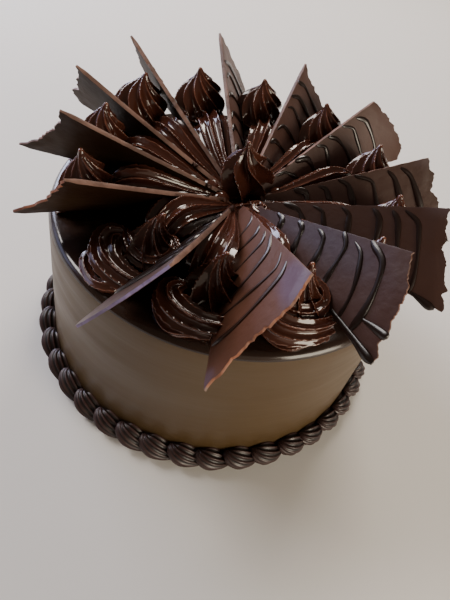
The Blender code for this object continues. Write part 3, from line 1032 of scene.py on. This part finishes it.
def make_swirl(name, size, height, full, turn, peak, belly, hook, hand):
    """The ropes of one swirl, melted together, on the X axis with its foot at the cake's top."""
    peak = (WHORL_DISTANCE + peak[0] / 1000.0, peak[1] / 1000.0)
    belly = (WHORL_DISTANCE + belly[0] / 1000.0, belly[1] / 1000.0)
    hook = (hook[0] / 1000.0, hook[1] / 1000.0)
    if full < SLIM:
        foot = peak
        reach = min(1.0, (LAST_FOLD - foot[0]) / FOLD_REACH)
        path, widths = laid(FOLD_STOPS, foot, reach)
        ropes = [rope(fold_nozzle, path, widths)]
        if turn > 0.0:
            path, widths = laid(TURN_STOPS, foot, reach)
            ropes.append(rope(loop_nozzle, path, [turn * width for width in widths]))
    else:
        foot = belly
        path, widths = loop(size, foot, hand.uniform(0.0, math.tau), hand.uniform(0.0, 6.0))
        ropes = [rope(loop_nozzle, path, widths)]
    path, widths, turns = drop(
        size, (height + TIP_LOSS) / 1000.0, full, foot, peak, hand.uniform(0.0, math.tau), hook
    )
    ropes.append(rope(drop_nozzle if full < SLIM else dome_nozzle, path, widths, turns))
    path, widths = ruffle(RUFFLE_RADIUS * size, hand.uniform(0.0, 6.0))
    ropes.append(rope(small_nozzle, shifted(path, (*belly, 0.0)), widths))
    reach = SHORT_SHELL if turn > 0.0 else 1.0
    path, widths = shell(size, hand.uniform(0.0, 6.0), reach)
    ropes.append(rope(shell_nozzle, path, widths))
    item = join(name, ropes)
    modify(item, "REMESH", mode="VOXEL", voxel_size=VOXEL, adaptivity=0.0)
    modify(item, "SMOOTH", factor=0.5, iterations=3)
    return item


# %% All the swirls
SWIRL_SHARE = 0.64
# For each swirl: its size, the height of its peak, how full its drop is, how thick its second turn is,
# then how far the peak and the middle of the belly lie out and round, and how far the tip hooks out and
# round; lengths are in millimetres
SWIRLS = (
    (1.06, 33.5, 0.1, 0.85, (-13.0, 10.0), (0.0, 3.0), (-2.0, 3.5)),
    (0.98, 36.0, 0.6, 0.0, (3.0, 5.0), (1.0, 3.0), (1.5, -1.5)),
    (0.98, 38.0, 0.7, 0.0, (0.5, 2.0), (0.0, 2.0), (-1.5, -1.0)),
    (1.02, 40.0, 1.0, 0.0, (4.0, 0.0), (4.0, 1.5), (-0.8, -0.8)),
    (1.00, 40.0, 1.0, 0.0, (1.0, 2.5), (1.0, 1.5), (1.2, 2.2)),
    (0.98, 39.0, 1.0, 0.0, (-1.0, 6.0), (0.0, 10.0), (0.0, 4.2)),
    (0.96, 38.5, 0.9, 0.0, (0.0, 8.0), (0.0, 7.5), (-1.0, 3.0)),
    (1.01, 38.0, 0.7, 0.0, (-1.0, 5.0), (0.0, 4.0), (1.0, 1.0)),
    (0.99, 38.0, 0.7, 0.0, (-1.0, 5.0), (0.0, 4.0), (-1.2, 1.0)),
    (1.00, 37.0, 0.6, 0.0, (-1.0, 5.0), (0.0, 4.0), (0.0, 2.0)),
    (1.00, 34.0, 0.0, 1.00, (-3.0, 7.0), (1.0, 3.0), (-1.5, -1.0)),
    (1.05, 34.0, 0.15, 0.0, (-6.5, 9.0), (0.5, 3.0), (-0.5, 2.0)),
)
hand = random.Random(3)
for index, (row, shard) in enumerate(zip(SWIRLS, SHARDS)):
    edge, slope, lean = shard[:3]
    next_edge, next_slope, next_lean = SHARDS[index - 1][:3]
    room = (next_edge - edge) % 360.0
    swirl = make_swirl(f"piped_swirl_{index + 1:02d}", *row, hand)
    turned = Matrix.Rotation(math.radians(edge + SWIRL_SHARE * room), 4, "Z")
    place(swirl, Matrix.Translation((0.0, 0.0, BASE)) @ turned)
    own = shard_place(edge, slope, lean)
    own_normal = own.to_3x3() @ Vector((0.0, 0.0, 1.0))
    trim(swirl, own @ Vector((0.0, 0.0, -SHARD_THICKNESS / 2.0)), own_normal)
    other = shard_place(next_edge, next_slope, next_lean)
    other_normal = other.to_3x3() @ Vector((0.0, 0.0, 1.0))
    trim(swirl, other @ Vector((0.0, 0.0, SHARD_THICKNESS / 2.0)), -other_normal)
    trim(swirl, (0.0, 0.0, BASE), (0.0, 0.0, -1.0))
    outwards(swirl)
    mark_crests(swirl)
    dress(swirl, [f"swirl_{index + 1:02d}"], [piped_look])

# %% [markdown]
# ## The rosette
# Last comes one burst from a wide star nozzle, held upright over the middle and pulled away to a
# point. Its seven fins are thin and the hollows between them are deep, so they look like petals. A
# few soft blobs of ganache lie round its foot over the shards' tips, a crease runs in front of it,
# and a small curl was squashed there when the last shard went in.

# %% The burst of the rosette
ROSETTE_FOOT = 0.1140
ROSETTE_TIP = 0.1500
ROSETTE_FROM = (0.0018, 0.0125)
ROSETTE_TO = (-0.0034, 0.0105)
# Share of the height, then the radius in millimetres and the turn of the fins in degrees
ROSETTE_STOPS = (
    (0.00, 13.0, 50.0), (0.12, 17.0, 47.0), (0.27, 18.2, 43.0), (0.42, 17.6, 36.0),
    (0.54, 16.2, 25.0), (0.64, 13.2, 11.0), (0.74, 8.4, 0.0), (0.83, 4.8, -8.0),
    (0.90, 3.0, -14.0), (0.95, 2.0, -18.0), (1.00, 1.0, -22.0),
)
rosette_nozzle = star(7, 0.33, 14, 0.50)
path = []
widths = []
turns = []
for share in shares(ROPE_STEPS):
    radius, twist = stop_at(ROSETTE_STOPS, share)
    sideways = [low + (high - low) * share for low, high in zip(ROSETTE_FROM, ROSETTE_TO)]
    path.append((*sideways, ROSETTE_FOOT + (ROSETTE_TIP - ROSETTE_FOOT) * share))
    widths.append(0.001 * radius)
    turns.append(math.radians(twist))
pieces = [rope(rosette_nozzle, path, widths, turns)]
print("the burst:", len(pieces[0].data.polygons), "faces")

# %% The ganache round the rosette
# The soft blobs: where each lies and its radius, in millimetres, and how flat it is
BLOBS = (
    (-19.5, 3.5, 118.5, 6.6, 0.80), (-11.5, -5.5, 118.0, 5.6, 0.80), (-3.0, -14.5, 117.0, 5.0, 0.75),
    (21.0, 12.5, 118.5, 5.2, 0.90), (-21.5, 13.5, 119.0, 4.2, 0.90), (12.5, 26.0, 119.0, 5.5, 0.85),
    (-8.0, 26.0, 118.5, 5.0, 0.85), (17.5, 3.0, 117.0, 4.4, 0.80),
)
CURL_MIDDLE = (0.0122, -0.0085, 0.1185)
CURL_RADIUS = 0.0062
CREASE_MIDDLE = (0.0, 0.0070, 0.1160)
CREASE_RADIUS = 0.0150
for across, along_y, up, radius, flat in BLOBS:
    bpy.ops.mesh.primitive_ico_sphere_add(subdivisions=4, radius=0.001 * radius)
    blob = bpy.context.object
    spot = Matrix.Translation((0.001 * across, 0.001 * along_y, 0.001 * up))
    place(blob, spot @ Matrix.Diagonal((1.0, 1.0, flat, 1.0)))
    pieces.append(blob)
curl = []
curl_widths = []
crease = []
crease_widths = []
for share in shares(ROPE_STEPS):
    turn = math.radians(150.0 - 520.0 * share)
    radius = CURL_RADIUS * (1.0 - 0.80 * share)
    curl.append((radius * math.cos(turn), radius * math.sin(turn), 0.0050 * share))
    curl_widths.append(0.0034 * (1.0 - 0.45 * share))
    turn = math.radians(-160.0 + 120.0 * share)
    radius = CREASE_RADIUS + 0.0014 * math.sin(7.0 * share)
    crease.append((radius * math.cos(turn), radius * math.sin(turn), 0.0022 * math.sin(9.0 * share)))
    crease_widths.append(0.0042 * math.sin(math.pi * (0.1 + 0.8 * share)) ** 0.5)
pieces.append(rope(small_nozzle, shifted(curl, CURL_MIDDLE), curl_widths))
pieces.append(rope(small_nozzle, shifted(crease, CREASE_MIDDLE), crease_widths))
print("pieces of the rosette:", len(pieces))

# %% The rosette
ROSETTE_VOXEL = 0.00045
rosette = join("centre_rosette_dressed", pieces)
modify(rosette, "REMESH", mode="VOXEL", voxel_size=ROSETTE_VOXEL, adaptivity=0.0)
modify(rosette, "SMOOTH", factor=0.5, iterations=2)
outwards(rosette)
mark_crests(rosette, rounds=1, full=0.00009)
dress(rosette, ["centre_rosette"], [piped_look])

# %% Put the tools away
nozzles = (
    loop_nozzle, fold_nozzle, drop_nozzle, dome_nozzle, shell_nozzle, rosette_nozzle, fine_nozzle,
    small_nozzle,
)
for item in nozzles:
    bpy.data.objects.remove(item, do_unlink=True)
bpy.ops.object.select_all(action="DESELECT")
